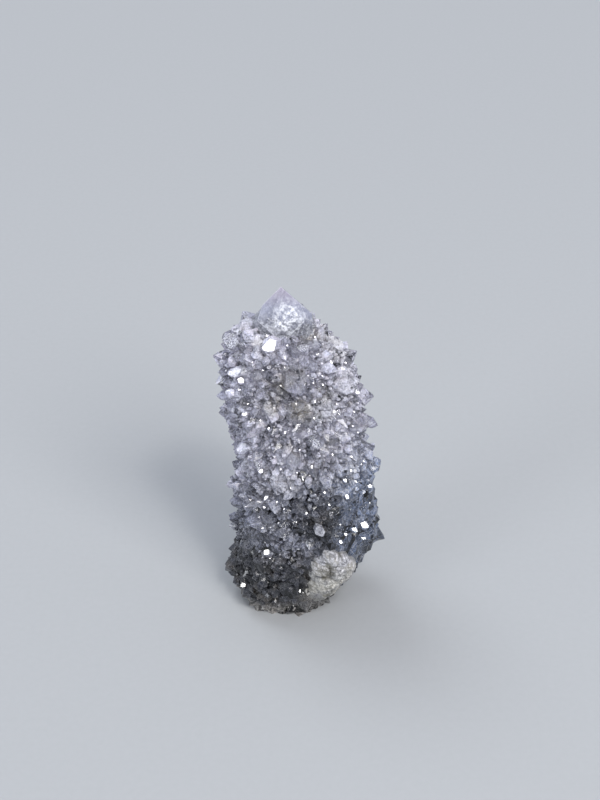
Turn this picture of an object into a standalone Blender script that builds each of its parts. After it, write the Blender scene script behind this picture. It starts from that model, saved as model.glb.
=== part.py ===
"""Spirit quartz cluster.

One tall quartz crystal whose sides are coated with hundreds of small quartz points. Its own bare tip stands
out at the top, and the bottom is a flat break. It grew as one piece, so it is one closed solid. Metres, +Z up,
X to the right and -Y towards the viewer. The origin is on the ground, under the middle of the cluster.
"""

import math
import random

import bmesh
import bpy
import numpy as np
from mathutils import Matrix, Vector, noise
from mathutils.geometry import delaunay_2d_cdt

MM = 0.001
FULL_TURN = 2 * math.pi

# Driving dimensions, in millimetres, with X and Y measured from the foot
TIP_HEIGHT = 66.0
TIP_FOOT_HEIGHT = 44.0
TIP_WIDTH = 11.6
TIP_X = -0.9
TIP_FOOT_X = 0.6
COAT_TOP = 59.6
COAT_BOTTOM = -2.0

# The middle of the cluster's outer box, measured from the foot: it moves to X and Y zero
MIDDLE_X = 2.8
MIDDLE_Y = 0.2

# Stations of the body under its coat: height, middle in X, middle in Y, half its width, half its depth
STATIONS = (
    (-2.0, 0.2, 0.2, 7.4, 6.6),
    (0.0, 0.2, 0.2, 8.4, 7.4),
    (4.0, 0.7, 0.3, 10.3, 8.9),
    (9.0, 2.0, 0.3, 11.8, 9.9),
    (14.0, 3.6, 0.2, 12.4, 10.2),
    (19.0, 4.0, 0.0, 12.1, 10.1),
    (24.0, 3.5, 0.0, 12.2, 9.9),
    (30.0, 3.0, 0.0, 11.5, 9.7),
    (37.0, 1.6, 0.0, 11.0, 9.5),
    (43.5, 1.2, 0.0, 11.3, 9.5),
    (48.0, 0.7, 0.0, 11.1, 9.1),
    (52.0, -0.4, 0.0, 10.2, 8.3),
    (55.5, -0.8, 0.0, 8.6, 7.2),
    (57.8, -1.0, 0.0, 6.8, 5.7),
    (59.6, -0.9, 0.0, 4.4, 4.1),
)
HEXAGON_SHARE = 0.55
HEXAGON_TURN = math.radians(12)
LUMP_HEIGHT = 0.85
LUMP_SPACING = 7.0

# Quartz: a crystal's end faces lean this far from its long axis, which gives an end's rise for its half width
END_FACE_LEAN = math.radians(38.2)
END_RISE = math.cos(math.radians(30)) / math.tan(END_FACE_LEAN)

# The coat: how many points, the least gap between them from the widest to the narrowest, and how they lean
POINT_COUNT = 980
POINT_GAPS = (2.3, 1.5)
POINT_LEAN = 0.2
RISE_SHARE = 0.4
VALLEY_DEPTH = 0.15
EDGE_SIDES = 24
SEED = 41

# Crystals that stand out of the coat where the viewer sees them: height, angle in degrees, width, stand-out
LEADERS = (
    (57.0, -162, 3.7, 2.6),
    (58.4, -138, 3.3, 2.3),
    (57.4, -106, 3.6, 1.7),
    (55.5, -128, 3.0, 1.9),
    (52.5, -74, 4.6, 1.9),
    (55.0, -40, 3.2, 2.2),
    (49.0, -27, 4.6, 2.4),
    (47.0, -57, 3.6, 2.1),
    (38.0, -92, 3.6, 2.0),
    (42.5, -126, 3.0, 1.9),
    (48.5, -140, 3.2, 2.0),
    (33.5, -50, 3.0, 2.0),
    (51.5, 3, 3.2, 2.8),
    (44.0, 0, 3.4, 3.2),
    (39.0, -4, 2.8, 2.9),
    (28.5, 2, 3.6, 3.2),
    (33.5, -8, 2.6, 2.4),
    (52.0, -176, 3.0, 2.8),
    (47.5, 178, 2.6, 2.4),
    (26.0, -178, 2.6, 2.8),
    (22.5, -172, 3.0, 2.5),
    (16.5, 178, 3.0, 2.6),
    (11.0, -160, 4.4, 2.0),
    (14.0, -2, 4.4, 2.8),
    (18.0, -26, 5.2, 1.9),
    (22.5, -80, 2.4, 1.9),
    (5.0, -118, 3.6, 2.0),
)
# More of them on the sides and the back
LEADERS_BEHIND = 20
LEADER_WIDTHS = (2.8, 4.4)
LEADER_ROOT = 4.0
LEADER_LEAN = 0.12

# The pale patch low on the right, without points: its middle as height and angle, and its half sizes
PATCH_HEIGHT = 12.4
PATCH_ANGLE = math.radians(-60)
PATCH_HALF_HEIGHT = 6.6
PATCH_HALF_WIDTH = 4.6
PATCH_BULGE = 1.3
PATCH_RELIEF = 0.15

QUARTZ_GREY = (0.56, 0.56, 0.64, 1.0)
QUARTZ_ROUGHNESS = 0.12
QUARTZ_IOR = 1.544
QUARTZ_CLEARNESS = 0.45


def clear_scene():
    """Removes what the file opened with."""
    for old in list(bpy.data.objects):
        bpy.data.objects.remove(old)


def station_at(height):
    """Middle and half sizes of the body at a height, on a smooth curve through the stations."""
    last = len(STATIONS) - 1
    index = max(k for k in range(last) if k == 0 or height >= STATIONS[k][0])
    before = STATIONS[max(index - 1, 0)]
    start, end = STATIONS[index], STATIONS[index + 1]
    after = STATIONS[min(index + 2, last)]
    gap = end[0] - start[0]
    t = min(max((height - start[0]) / gap, 0.0), 1.0)
    values = []
    for k in range(1, 5):
        slope_in = (end[k] - before[k]) / (end[0] - before[0]) * gap
        slope_out = (after[k] - start[k]) / (after[0] - start[0]) * gap
        from_start = (2 * t**3 - 3 * t**2 + 1) * start[k] + (t**3 - 2 * t**2 + t) * slope_in
        to_end = (3 * t**2 - 2 * t**3) * end[k] + (t**3 - t**2) * slope_out
        values.append(from_start + to_end)
    return values


def patch_distance(height, angle):
    """How far a place is from the middle of the pale patch: 0 there and 1 on the patch's rim."""
    across = (angle - PATCH_ANGLE + math.pi) % FULL_TURN - math.pi
    mean_radius = sum(station_at(PATCH_HEIGHT)[2:]) / 2
    return math.hypot(across * mean_radius / PATCH_HALF_WIDTH, (height - PATCH_HEIGHT) / PATCH_HALF_HEIGHT)


def body_point(height, angle):
    """A point of the body's surface under the coat."""
    mid_x, mid_y, half_width, half_depth = station_at(height)
    corner = (angle + HEXAGON_TURN) % math.radians(60) - math.radians(30)
    reach = 1 + HEXAGON_SHARE * (1 / math.cos(corner) - 1.07)
    outward = Vector((math.cos(angle), math.sin(angle), 0))
    on_oval = Vector((half_width * outward.x, half_depth * outward.y, 0)) * reach
    point = Vector((mid_x, mid_y, height)) + on_oval
    lump = LUMP_HEIGHT * noise.noise(point / LUMP_SPACING)
    bulge = PATCH_BULGE * max(0.0, 1 - patch_distance(height, angle) ** 4)
    return point + outward * (lump + bulge)


def body_normal(height, angle):
    """The direction straight out of the body's surface."""
    step, turn = 0.5, 0.06
    across = body_point(height, angle + turn) - body_point(height, angle - turn)
    upward = body_point(height + step, angle) - body_point(height - step, angle)
    return across.cross(upward).normalized()


def tilted(rng, direction, lean, rise):
    """A direction turned a little at random, and a little up."""
    change = Vector((rng.gauss(0, 1), rng.gauss(0, 1), rng.gauss(0, 1) + rise)) * lean
    return (direction + change).normalized()


def spread(rng, count, gaps, taken):
    """Random places on the body, (height, angle), with a least gap that shrinks from the first to the last."""
    places = list(taken)
    feet = np.array([body_point(*place) for place in places]).reshape(-1, 3)
    for index in range(count):
        gap = gaps[0] + (gaps[1] - gaps[0]) * (index / count) ** 0.7
        for _ in range(400):
            place = (rng.uniform(COAT_BOTTOM + 0.8, COAT_TOP - 0.4), rng.uniform(-math.pi, math.pi))
            foot = np.array(body_point(*place))
            if not len(feet) or np.linalg.norm(feet - foot, axis=1).min() > gap:
                places.append(place)
                feet = np.vstack((feet, foot))
                break
    return places[len(taken):]


def unrolled_heights():
    """Heights on the body, and how far up a flat map each lies. The map keeps small shapes as they are."""
    heights = np.linspace(COAT_BOTTOM, COAT_TOP, 200)
    radii = np.array([sum(station_at(height)[2:]) / 2 for height in heights])
    steps = np.hypot(np.diff(heights), np.diff(radii)) / (radii[1:] + radii[:-1]) * 2
    return heights, np.concatenate(([0.0], np.cumsum(steps)))


def triangles_between(places):
    """Triangles that join neighbouring places all round the body, as triples of their numbers."""
    heights, climb = unrolled_heights()
    flat = [(angle, float(np.interp(height, heights, climb))) for height, angle in places]
    count = len(flat)
    thrice = [Vector((x + turn * FULL_TURN, y)) for turn in (-1, 0, 1) for x, y in flat]
    points, _, faces, origins, _, _ = delaunay_2d_cdt(thrice, [], [], 0, 1e-7)
    found = {}
    for face in faces:
        middle = sum(points[corner].x for corner in face) / 3
        if -math.pi <= middle < math.pi:
            triple = tuple(origins[corner][0] % count for corner in face)
            found[tuple(sorted(triple))] = triple
    return list(found.values())


def middle_of(triple, places):
    """The valley between three places, as a height and an angle."""
    first = places[triple[0]][1]
    turns = [(places[k][1] - first + math.pi) % FULL_TURN - math.pi for k in triple]
    return sum(places[k][0] for k in triple) / 3, first + sum(turns) / 3


def coat(rng, places):
    """The body's skin, with a pointed end on each place and valleys between them."""
    edge_angles = [FULL_TURN * side / EDGE_SIDES - math.pi for side in range(EDGE_SIDES)]
    edges = [(height, angle) for height in (COAT_BOTTOM, COAT_TOP) for angle in edge_angles]
    all_places = places + edges
    triples = triangles_between(all_places)
    skin = bmesh.new()
    valleys = []
    for triple in triples:
        place = middle_of(triple, all_places)
        sunk = body_normal(*place) * VALLEY_DEPTH * rng.uniform(0.0, 2.0)
        valleys.append(skin.verts.new(body_point(*place) - sunk))

    around = {}
    for number, triple in enumerate(triples):
        for k in range(3):
            pair = (triple[k], triple[(k + 1) % 3])
            around.setdefault(tuple(sorted(pair)), []).append(number)
            around.setdefault(triple[k], []).append(number)

    ends = []
    for number, place in enumerate(all_places):
        foot = body_point(*place)
        if number < len(places):
            reach = sum((valleys[k].co - foot).length for k in around[number]) / len(around[number])
            rise = reach * END_RISE * rng.uniform(0.8, 1.15)
            if patch_distance(*place) < 1:
                rise *= PATCH_RELIEF
            foot += tilted(rng, body_normal(*place), POINT_LEAN, RISE_SHARE) * rise
        ends.append(skin.verts.new(foot))

    for pair, sides in around.items():
        if isinstance(pair, int):
            continue
        if len(sides) == 2:
            first, second = (valleys[k] for k in sides)
            skin.faces.new((ends[pair[0]], first, second))
            skin.faces.new((ends[pair[1]], second, first))
        else:
            skin.faces.new((ends[pair[0]], ends[pair[1]], valleys[sides[0]]))
    bottom = ends[len(places):len(places) + EDGE_SIDES]
    top = ends[len(places) + EDGE_SIDES:]
    skin.faces.new(bottom)
    skin.faces.new(top)
    bmesh.ops.recalc_face_normals(skin, faces=skin.faces)
    return skin


def crystal(width, length, lags, squeeze=1.0, turn=0.0):
    """A crystal along +Z: a six-sided prism cut by six sloping end faces, each set out by its lag in widths."""
    made = bmesh.new()
    raised = Matrix.Translation((0, 0, length / 2))
    sizes = {"radius1": width / 2, "radius2": width / 2, "depth": length}
    bmesh.ops.create_cone(made, cap_ends=True, segments=6, matrix=raised, **sizes)
    outward, upward = math.cos(END_FACE_LEAN), math.sin(END_FACE_LEAN)
    for side, lag in enumerate(lags):
        azimuth = math.radians(60 * side + 30)
        normal = Vector((outward * math.cos(azimuth), outward * math.sin(azimuth), upward))
        everything = made.verts[:] + made.edges[:] + made.faces[:]
        top = Vector((0, 0, length + lag * width))
        cut = bmesh.ops.bisect_plane(made, geom=everything, plane_co=top, plane_no=normal, clear_outer=True)
        rim = [part for part in cut["geom_cut"] if isinstance(part, bmesh.types.BMEdge)]
        if rim:
            bmesh.ops.edgenet_fill(made, edges=rim)
    shape = Matrix.Rotation(turn, 4, "Z") @ Matrix.Diagonal((1.0, squeeze, 1.0, 1.0))
    bmesh.ops.transform(made, matrix=shape, verts=made.verts)
    bmesh.ops.recalc_face_normals(made, faces=made.faces)
    return made


def planted(made, root, axis):
    """Turns a crystal's long axis to a direction and moves its root to a point."""
    turn = axis.to_track_quat("Z", "Y").to_matrix().to_4x4()
    bmesh.ops.transform(made, matrix=Matrix.Translation(root) @ turn, verts=made.verts)
    return made


def tip():
    """The main crystal, whose bare end stands out at the top with one broad face to the front."""
    foot = Vector((TIP_FOOT_X, 0, TIP_FOOT_HEIGHT))
    axis = Vector((TIP_X, 0, TIP_HEIGHT)) - foot
    broad, narrow = 0.0, 0.2
    lags = (broad, narrow, broad, narrow, broad, narrow)
    return planted(crystal(TIP_WIDTH, axis.length, lags, turn=math.radians(-32)), foot, axis)


def leaders(rng, places):
    """The wide crystals that stand out of the coat, on the chosen places and then on the ones behind."""
    made = []
    for number, place in enumerate(places):
        if number < len(LEADERS):
            width, above = LEADERS[number][2:]
        else:
            width = rng.uniform(*LEADER_WIDTHS)
            above = 0.65 * width
        axis = tilted(rng, body_normal(*place), LEADER_LEAN, RISE_SHARE)
        lags = [rng.uniform(0.0, 0.04) if side % 2 else rng.uniform(0.02, 0.18) for side in range(6)]
        squeeze = rng.uniform(0.85, 1.0)
        shape = crystal(width, LEADER_ROOT + above, lags, squeeze, rng.uniform(0, math.pi))
        made.append(planted(shape, body_point(*place) - axis * LEADER_ROOT, axis))
    return made


def object_from(pieces, name):
    """Joins bmesh pieces, in millimetres, into one object in metres."""
    mesh = bpy.data.meshes.new(name)
    whole = bmesh.new()
    for piece in pieces:
        piece.to_mesh(mesh)
        whole.from_mesh(mesh)
        piece.free()
    bmesh.ops.translate(whole, vec=(-MIDDLE_X, -MIDDLE_Y, 0), verts=whole.verts)
    bmesh.ops.scale(whole, vec=(MM, MM, MM), verts=whole.verts)
    whole.to_mesh(mesh)
    whole.free()
    made = bpy.data.objects.new(name, mesh)
    bpy.context.scene.collection.objects.link(made)
    return made


def ground_block():
    """A block under the ground, which cuts the break at the bottom flat."""
    block = bmesh.new()
    size = 60.0
    bmesh.ops.create_cube(block, size=size, matrix=Matrix.Translation((0, 0, -size / 2)))
    return object_from([block], "ground_block")


def quartz():
    """Clear grey quartz with a slight haze."""
    material = bpy.data.materials.new("quartz")
    material.use_nodes = True
    shader = material.node_tree.nodes["Principled BSDF"]
    shader.inputs["Base Color"].default_value = QUARTZ_GREY
    shader.inputs["Roughness"].default_value = QUARTZ_ROUGHNESS
    shader.inputs["Metallic"].default_value = 0.0
    shader.inputs["IOR"].default_value = QUARTZ_IOR
    shader.inputs["Transmission Weight"].default_value = QUARTZ_CLEARNESS
    material.diffuse_color = QUARTZ_GREY
    return material


def combine(target, other, operation, name, overlapping=False):
    """Adds a Boolean with another object, a helper that isn't drawn, to the target."""
    other.hide_render = True
    other.display_type = "WIRE"
    change = target.modifiers.new(name, "BOOLEAN")
    change.object = other
    change.operation = operation
    change.solver = "EXACT"
    change.use_self = overlapping


def main():
    clear_scene()
    rng = random.Random(SEED)
    chosen = [(height, math.radians(angle)) for height, angle, _, _ in LEADERS]
    behind = []
    for place in spread(rng, 3 * LEADERS_BEHIND, (5.0, 5.0), chosen):
        if math.sin(place[1]) > -0.1 and len(behind) < LEADERS_BEHIND:
            behind.append(place)
    wide = chosen + behind
    places = wide + spread(rng, POINT_COUNT, POINT_GAPS, wide)
    cluster = object_from([coat(rng, places)], "quartz_cluster")
    cluster.data.materials.append(quartz())
    growth = object_from([tip()] + leaders(rng, wide), "growth")
    combine(cluster, growth, "UNION", "fuse the crystals", overlapping=True)
    combine(cluster, ground_block(), "DIFFERENCE", "flat break")
    print(len(places), "points,", len(wide), "of them wide")


main()
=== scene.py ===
# %% [markdown]
# # A spirit quartz cluster
#
# Spirit quartz is one tall quartz crystal whose sides grew a second coat: thousands of small quartz points that
# stand out like the spines of a cactus, while the main crystal's own tip stays bare. This lesson dresses a packed
# solid of such a cluster. It grows the finest points in code, fuses them into one closed mesh, and gives every
# crystal face a glassy finish that runs from milky lavender at the top to smoky blue-black at the foot.
#
# Everything is in metres, with +Z up. X runs to the right and the viewer looks along +Y.

import math
import random
from collections import namedtuple

import bmesh
import bpy
import numpy as np
from mathutils import Matrix, Vector, noise
from mathutils.bvhtree import BVHTree


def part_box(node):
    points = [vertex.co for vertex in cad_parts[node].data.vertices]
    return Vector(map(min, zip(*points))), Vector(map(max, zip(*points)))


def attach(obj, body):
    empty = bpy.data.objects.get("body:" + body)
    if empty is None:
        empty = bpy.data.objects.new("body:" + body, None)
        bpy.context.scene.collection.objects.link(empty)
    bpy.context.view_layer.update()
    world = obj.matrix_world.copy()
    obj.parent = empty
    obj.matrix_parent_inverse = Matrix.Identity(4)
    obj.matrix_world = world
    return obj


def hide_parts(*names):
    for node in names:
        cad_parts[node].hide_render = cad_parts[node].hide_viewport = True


MM = 0.001
rng = random.Random(7)

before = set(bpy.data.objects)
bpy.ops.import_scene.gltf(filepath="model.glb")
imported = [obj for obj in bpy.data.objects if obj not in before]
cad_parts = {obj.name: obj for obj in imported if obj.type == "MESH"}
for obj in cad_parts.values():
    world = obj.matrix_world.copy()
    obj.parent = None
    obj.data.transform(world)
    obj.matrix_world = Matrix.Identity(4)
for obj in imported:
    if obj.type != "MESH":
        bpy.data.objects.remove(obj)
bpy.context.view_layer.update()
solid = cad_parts["quartz_cluster"]
low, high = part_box("quartz_cluster")
print("solid:", len(solid.data.polygons), "faces,", [round((b - a) / MM, 1) for a, b in zip(low, high)], "mm")

# %% [markdown]
# ## The camera
#
# The photographer looked down at the cluster from a little over twenty centimetres in front. A long lens keeps the
# upright lines nearly parallel. The camera could be aimed with a Track To constraint, but a plain rotation about X
# says more clearly that it only tips down and doesn't turn.

# %% Camera
CAMERA_PLACE = Vector((-0.5, -218.8, 188.6)) * MM
CAMERA_DIP = math.radians(33.6)
CAMERA_LENS = 67.5
NEAREST_SEEN = 10 * MM

camera = bpy.data.objects.new("camera", bpy.data.cameras.new("camera"))
bpy.context.scene.collection.objects.link(camera)
camera.location = CAMERA_PLACE
camera.rotation_euler = (math.pi / 2 - CAMERA_DIP, 0, 0)
camera.data.lens = CAMERA_LENS
camera.data.clip_start = NEAREST_SEEN
bpy.context.scene.camera = camera
print("camera looks down", round(math.degrees(CAMERA_DIP), 1), "degrees")

# %% [markdown]
# ## Floor and light
#
# Crystal shows what is round it, so the light matters as much as the finish. A pale room lights the cluster from all
# sides. Three Sun lights with wide discs act as soft panels far away, so that the floor stays evenly lit out to the
# horizon, where nearby area lights would leave it dark. A small lamp nearby makes single faces flash, as a crystal
# does when it is turned in the hand.

# %% Floor and light
FLOOR_SIZE = 3.0
FLOOR_COLOUR = (0.43, 0.44, 0.452)
ROOM_COLOUR = (0.83, 0.88, 1.0, 1)
ROOM_STRENGTH = 0.56
# Where each soft light comes from, how wide its disc looks in degrees, how strong it is and its colour
SOFT_LIGHTS = {
    "key_panel": ((180, -270, 290), 30, 1.7, (1.0, 0.98, 0.95)),
    "back_panel": ((-130, 120, 340), 30, 0.95, (0.90, 0.95, 1.0)),
    "side_panel": ((-260, -220, 170), 22, 0.65, (0.92, 0.96, 1.0)),
}
SPARK_LAMP_PLACE = Vector((110, -260, 420)) * MM
SPARK_LAMP_SIZE = 60 * MM
SPARK_LAMP_POWER = 0.42
CLUSTER_HEART = Vector((0, 0, 33)) * MM

floor_mesh = bpy.data.meshes.new("floor")
corner = FLOOR_SIZE / 2
floor_mesh.from_pydata([(-corner, -corner, 0), (corner, -corner, 0), (corner, corner, 0), (-corner, corner, 0)],
                       [], [(0, 1, 2, 3)])
floor = bpy.data.objects.new("floor", floor_mesh)
bpy.context.scene.collection.objects.link(floor)

world = bpy.data.worlds.new("room")
world.use_nodes = True
world.node_tree.nodes["Background"].inputs["Color"].default_value = ROOM_COLOUR
world.node_tree.nodes["Background"].inputs["Strength"].default_value = ROOM_STRENGTH
bpy.context.scene.world = world


def add_light(name, kind, place, strength, colour):
    """A light at a place that points at the middle of the cluster."""
    light = bpy.data.lights.new(name, kind)
    light.energy = strength
    light.color = colour
    holder = bpy.data.objects.new(name, light)
    bpy.context.scene.collection.objects.link(holder)
    holder.location = place
    holder.rotation_euler = (CLUSTER_HEART - place).to_track_quat("-Z", "Y").to_euler()
    return light


for name, (place, disc, strength, colour) in SOFT_LIGHTS.items():
    add_light(name, "SUN", Vector(place) * MM, strength, colour).angle = math.radians(disc)
spark_lamp = add_light("spark_lamp", "AREA", SPARK_LAMP_PLACE, SPARK_LAMP_POWER, (1.0, 0.98, 0.94))
spark_lamp.shape = "DISK"
spark_lamp.size = SPARK_LAMP_SIZE
bpy.context.scene.view_settings.view_transform = "Standard"
print(len(SOFT_LIGHTS), "soft lights, a spark lamp and a pale room")

# %% [markdown]
# ## The shape of a quartz point
#
# Every quartz point is a six-sided prism closed by six sloping faces. The slope is always the same, 38.2 degrees
# from the long axis, because it comes from the way the atoms stack, but the six faces rarely grow at one pace, so
# the apex is seldom in the middle. Cutting a prism with six planes gives exactly that, face by face, where a cone
# would only come near. A set of moulds is cut once, one unit wide, and each crystal is a scaled copy of one.

# %% Moulds for the small points
END_FACE_LEAN = math.radians(38.2)
PRISM_SIDES = 6
SIDE_ANGLE = 60
FIRST_FACE = 30
MOULDS = 24
BROAD_MOULDS = 12
MOULD_LENGTH = 2.4
# How far the end faces lag behind the apex: every other face, the faces between, and those of a broad point
SMALL_LAGS = (0.0, 0.05)
LARGE_LAGS = (0.02, 0.2)
BROAD_LAGS = (0.06, 0.36)


def quartz_mould(lags):
    """A closed point along +Z, one unit wide, whose end faces are set out by their lags."""
    made = bmesh.new()
    raised = Matrix.Translation((0, 0, MOULD_LENGTH / 2))
    bmesh.ops.create_cone(made, cap_ends=True, segments=PRISM_SIDES, radius1=0.5, radius2=0.5,
                          depth=MOULD_LENGTH, matrix=raised)
    outward, upward = math.cos(END_FACE_LEAN), math.sin(END_FACE_LEAN)
    for side, lag in enumerate(lags):
        azimuth = math.radians(SIDE_ANGLE * side + FIRST_FACE)
        normal = Vector((outward * math.cos(azimuth), outward * math.sin(azimuth), upward))
        everything = made.verts[:] + made.edges[:] + made.faces[:]
        top = Vector((0, 0, MOULD_LENGTH + lag))
        cut = bmesh.ops.bisect_plane(made, geom=everything, plane_co=top, plane_no=normal, clear_outer=True)
        rim = [part for part in cut["geom_cut"] if isinstance(part, bmesh.types.BMEdge)]
        if rim:
            bmesh.ops.edgenet_fill(made, edges=rim)
    bmesh.ops.recalc_face_normals(made, faces=made.faces)
    mesh = bpy.data.meshes.new("quartz_mould")
    made.to_mesh(mesh)
    made.free()
    return mesh


moulds = []
for _ in range(MOULDS):
    uneven = [rng.uniform(*(SMALL_LAGS if side % 2 else LARGE_LAGS)) for side in range(PRISM_SIDES)]
    moulds.append(quartz_mould(uneven))
broad_moulds = []
for _ in range(BROAD_MOULDS):
    broad_moulds.append(quartz_mould([0.0] + [rng.uniform(*BROAD_LAGS) for _ in range(PRISM_SIDES - 1)]))
print(len(moulds) + len(broad_moulds), "moulds of about", len(moulds[0].polygons), "faces")

# %% [markdown]
# ## A closed copy of the solid
#
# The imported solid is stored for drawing, with every facet's corners apart. Merging the corners that share a place
# makes it one closed skin again, which the Boolean that fuses the small points needs. Later each face of the copy
# is given a finish, and a number for its tone, so that neighbouring crystals differ.

# %% Closed copy of the solid
FINISHES = ("milky_tip", "clear_points", "milky_points", "smoky_points", "polished_points", "pale_patch")
TIP, CLEAR, MILKY, SMOKY, POLISHED, PATCH = range(len(FINISHES))
MERGE_DISTANCE = 1e-7
TIP_FOOT = 59.3 * MM
TIP_REACH = 6.3 * MM
TIP_MIDDLE = Vector((-3.5, -0.2, 0)) * MM
TONE_CELL = 0.05 * MM
FAR_OFF = 9.0

# The pale patch: its middle on the cluster, the way it faces, and its outline as angles in degrees and reaches in mm
PATCH_HEIGHT = 12.4 * MM
PATCH_ANGLE = math.radians(-60)
PATCH_OUT = Vector((math.cos(PATCH_ANGLE), math.sin(PATCH_ANGLE), 0))
PATCH_SIDE = Vector((-math.sin(PATCH_ANGLE), math.cos(PATCH_ANGLE), 0))
PATCH_OUTLINE = ((-180, 4.1), (-160, 4.2), (-144, 5.4), (-131, 6.6), (-116, 7.9), (-100, 9.4), (-85, 9.6),
                 (-74, 8.4), (-65, 7.6), (-48, 6.6), (-39, 6.2), (-19, 5.2), (11, 4.6), (42, 4.3), (56, 4.2),
                 (67, 5.0), (79, 5.1), (86, 5.0), (96, 6.1), (104, 6.6), (112, 6.3), (138, 4.9), (160, 4.2),
                 (180, 4.1))


def patch_reach(angle):
    """How far the patch reaches from its middle at an angle round it."""
    degrees, reaches = zip(*PATCH_OUTLINE)
    return float(np.interp(math.degrees(angle), degrees, reaches)) * MM


def patch_share(point):
    """0 in the middle of the patch and 1 on its outline, or large on the cluster's other sides."""
    if point.dot(PATCH_OUT) < 0:
        return FAR_OFF
    across, upward = (point - PATCH_MIDDLE).dot(PATCH_SIDE), point.z - PATCH_HEIGHT
    return math.hypot(across, upward) / patch_reach(math.atan2(upward, across))


def place_tone(point):
    """A number from 0 to 1 that looks random and always comes out the same for a place."""
    return noise.cell(point / TONE_CELL)


def tip_face(point):
    """True on the bare end of the main crystal."""
    return point.z > TIP_FOOT and (point - TIP_MIDDLE).xy.length < TIP_REACH


closed = bmesh.new()
closed.from_mesh(solid.data)
bmesh.ops.remove_doubles(closed, verts=closed.verts, dist=MERGE_DISTANCE)
print(len(closed.faces), "faces,", sum(not edge.is_manifold for edge in closed.edges), "open edges")

# %% [markdown]
# ## Which way is out
#
# A point grows away from the crystal under it. The cluster isn't round, so its own middle and width are measured
# at several heights. Straight out at a height is then away from the middle, tipped up where the cluster narrows
# towards the top and down where it draws in at the foot.

# %% Middles and widths along the cluster
SLICE = 4 * MM
corners = np.array([vertex.co for vertex in closed.verts])
slice_heights = np.arange(SLICE / 2, high.z - SLICE, SLICE)
slice_middles, slice_reaches = [], []
for level in slice_heights:
    near = corners[abs(corners[:, 2] - level) < SLICE / 2]
    slice_middles.append((near.min(0) + near.max(0))[:2] / 2)
    slice_reaches.append((near.max(0) - near.min(0))[:2].mean() / 2)
slice_middles = np.array(slice_middles)
slice_slopes = np.gradient(np.array(slice_reaches), slice_heights)


def outward_at(point):
    """The direction straight out of the cluster at a point of its surface."""
    middle = [np.interp(point.z, slice_heights, slice_middles[:, k]) for k in range(2)]
    away = Vector((point.x - middle[0], point.y - middle[1], 0)).normalized()
    away.z = -float(np.interp(point.z, slice_heights, slice_slopes))
    return away.normalized()


print("narrowest and widest half width:", round(min(slice_reaches) / MM, 1), round(max(slice_reaches) / MM, 1), "mm")

# %% [markdown]
# ## A smoother side
#
# The coat isn't equally rough all round. Low on the right the crystals are wide and lie nearly flush, so that the
# outline runs almost straight, the whole foot is a little smoother than the middle, and behind the tip the left
# shoulder is even. In those places the corners are drawn towards the mean level of the skin round them, which
# lowers the peaks and lifts the valleys. A Smooth modifier would also shrink the cluster and round off its faces.

# %% Draw the corners towards the mean level
LEVEL_REACH = 2.3 * MM
SMOOTH_SHARE = 0.72
SHOULDER_SHARE = 1.1
SHOULDER_LEFT = -6 * MM
SHOULDER_LEVEL = 49.2 * MM
SMOOTH_LOW_SHARE = 0.6
SMOOTH_EVERYWHERE = 0.12
GROUND_SKIN = 0.02 * MM
# A distance in mm that is past the whole cluster
OUTSIDE = 50
SMOOTH_TOP = 32 * MM
SMOOTH_FADE = 5 * MM
SMOOTH_LOW_TOP = 21 * MM
SMOOTH_LOW_FADE = 6 * MM
# Where the flush side starts, how wide its border is, and how far it leans below a level
FLUSH_START = 2 * MM
FLUSH_SPAN = 8 * MM
FLUSH_LEVEL = 30 * MM
FLUSH_TILT = 0.35


def level_above(place, out):
    """How far the skin round a place stands above it on average: more than 0 in a valley, less on a peak."""
    offsets = corners - np.array(place)
    near = offsets[np.linalg.norm(offsets, axis=1) < LEVEL_REACH]
    return float((near @ np.array(out)).mean()) if len(near) else 0.0


def flush_share(place):
    """From 0 to 1, how flush the crystals lie: most low on the right."""
    rightward = (place.x + (FLUSH_LEVEL - place.z) * FLUSH_TILT - FLUSH_START) / FLUSH_SPAN
    below = (SMOOTH_TOP - place.z) / SMOOTH_FADE
    return min(max(min(rightward, below), 0), 1)


def on_left_shoulder(place):
    """True on the far left behind the tip, above the level that the camera shows the coat to reach there."""
    looks_high = place.z * math.cos(CAMERA_DIP) + place.y * math.sin(CAMERA_DIP)
    return place.x < SHOULDER_LEFT and looks_high > SHOULDER_LEVEL


def smooth_share(place):
    """How far a corner is drawn in: most where the crystals lie flush, and some all round low down."""
    low_down = min(max((SMOOTH_LOW_TOP - place.z) / SMOOTH_LOW_FADE, 0), 1) * SMOOTH_LOW_SHARE
    shoulder = SHOULDER_SHARE if on_left_shoulder(place) else 0
    return SMOOTH_EVERYWHERE + max(SMOOTH_SHARE * flush_share(place), low_down, shoulder)


moves = {}
for vertex in closed.verts:
    if GROUND_SKIN < vertex.co.z < TIP_FOOT - SLICE / 2 or on_left_shoulder(vertex.co):
        out = outward_at(vertex.co)
        if vertex.co.z < SLICE / 2:
            out = Vector((out.x, out.y, 0)).normalized()
        moves[vertex] = out * level_above(vertex.co, out) * smooth_share(vertex.co)
for vertex, move in moves.items():
    vertex.co += move
corners = np.array([vertex.co for vertex in closed.verts])
skin = BVHTree.FromBMesh(closed)
PATCH_MIDDLE = skin.ray_cast(Vector((0, 0, PATCH_HEIGHT)) + PATCH_OUT * OUTSIDE * MM, -PATCH_OUT)[0]
print(len(moves), "corners moved; patch middle at", [round(value / MM, 1) for value in PATCH_MIDDLE], "mm")
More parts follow.
